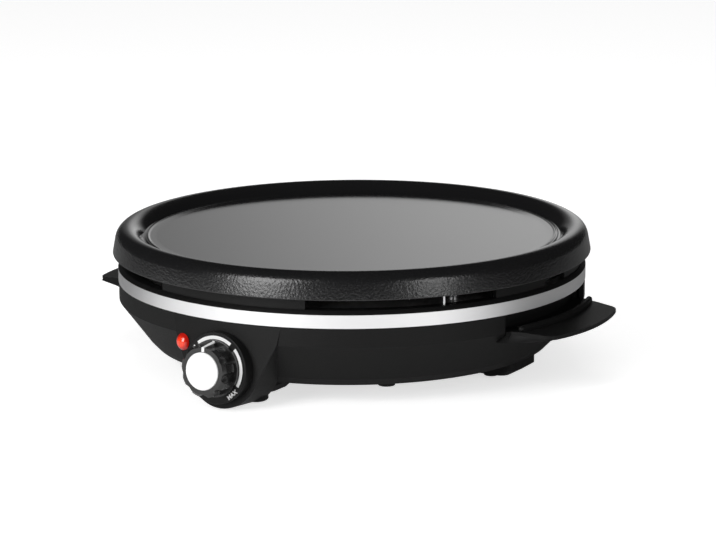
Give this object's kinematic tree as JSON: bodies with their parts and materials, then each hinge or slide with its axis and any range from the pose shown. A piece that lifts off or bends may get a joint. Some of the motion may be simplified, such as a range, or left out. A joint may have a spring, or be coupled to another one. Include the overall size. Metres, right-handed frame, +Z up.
{
  "type": "electric crepe maker",
  "caption": "Round countertop crepe maker: coated cast cooking plate on a low moulded base with a front thermostat knob, lamp and side shelf handles.",
  "frame": {"origin": "middle of the footprint on the worktop; the plate's own axis is 10.8 mm behind it, towards +Y", "axes": "+Z up out of the cooking face, the control knob faces -Y, the two handles lie along X"},
  "size_m": [0.3712, 0.3462, 0.0932],
  "materials": {
    "brass": "plain",
    "ceramic": "glazed ceramic",
    "copper": "drawn copper",
    "dial_plastic": "moulded, printed scale",
    "element_steel": "oxidised steel tube",
    "housing_plastic": "moulded, fine spark texture",
    "knob_cap_white": "white insert",
    "knob_plastic": "moulded, semi-matte",
    "lamp_holder": "moulded holder of the glow lamp",
    "lens_red": "translucent orange-red",
    "plate_coating": "satin non-stick coating with a fine speckle on the rim",
    "reflector": "aluminised sheet",
    "ring_plastic": "moulded, fine matte",
    "rubber": "moulded",
    "steel": "bright zinc plated",
    "thermostat_case": "pressed steel case",
    "trim_aluminium": "brushed round the band"
  },
  "bodies": {
    "base": {"base_ring": "ring_plastic", "bottom_cover": "housing_plastic", "clip_screws": "steel", "cooking_plate": "plate_coating", "cord_inlet": "rubber", "cover_screws": "steel", "cutout_screws": "steel", "dial_bezel": "dial_plastic", "element_bushes": "ceramic", "element_clips": "steel", "element_terminals": "brass", "foot_screws": "steel", "front_foot": "rubber", "handle_screws": "steel", "heat_reflector": "reflector", "heating_element": "element_steel", "housing_screws": "steel", "indicator_lamp": "lamp_holder", "indicator_lens": "lens_red", "left_foot": "rubber", "left_handle": "housing_plastic", "lower_housing": "housing_plastic", "post_screws": "steel", "probe_strap": "steel", "rear_foot": "rubber", "right_foot": "rubber", "right_handle": "housing_plastic", "strap_screws": "steel", "support_posts": "steel", "temperature_probe": "copper", "terminal_block": "ceramic", "thermal_cutout": "thermostat_case", "thermostat": "thermostat_case", "thermostat_nut": "steel", "trim_band": "trim_aluminium"},
    "knob": {"control_knob": "knob_plastic", "knob_cap": "knob_cap_white", "knob_pointer": "knob_cap_white", "thermostat_shaft": "steel"}
  },
  "joints": [
    {"name": "knob_turn", "type": "hinge", "parent": "base", "child": "knob", "pos_m": [0, -0.15019, 0.0278], "axis": [0, -0.9969, 0.0785], "range_deg": [-138, 138]}
  ]
}
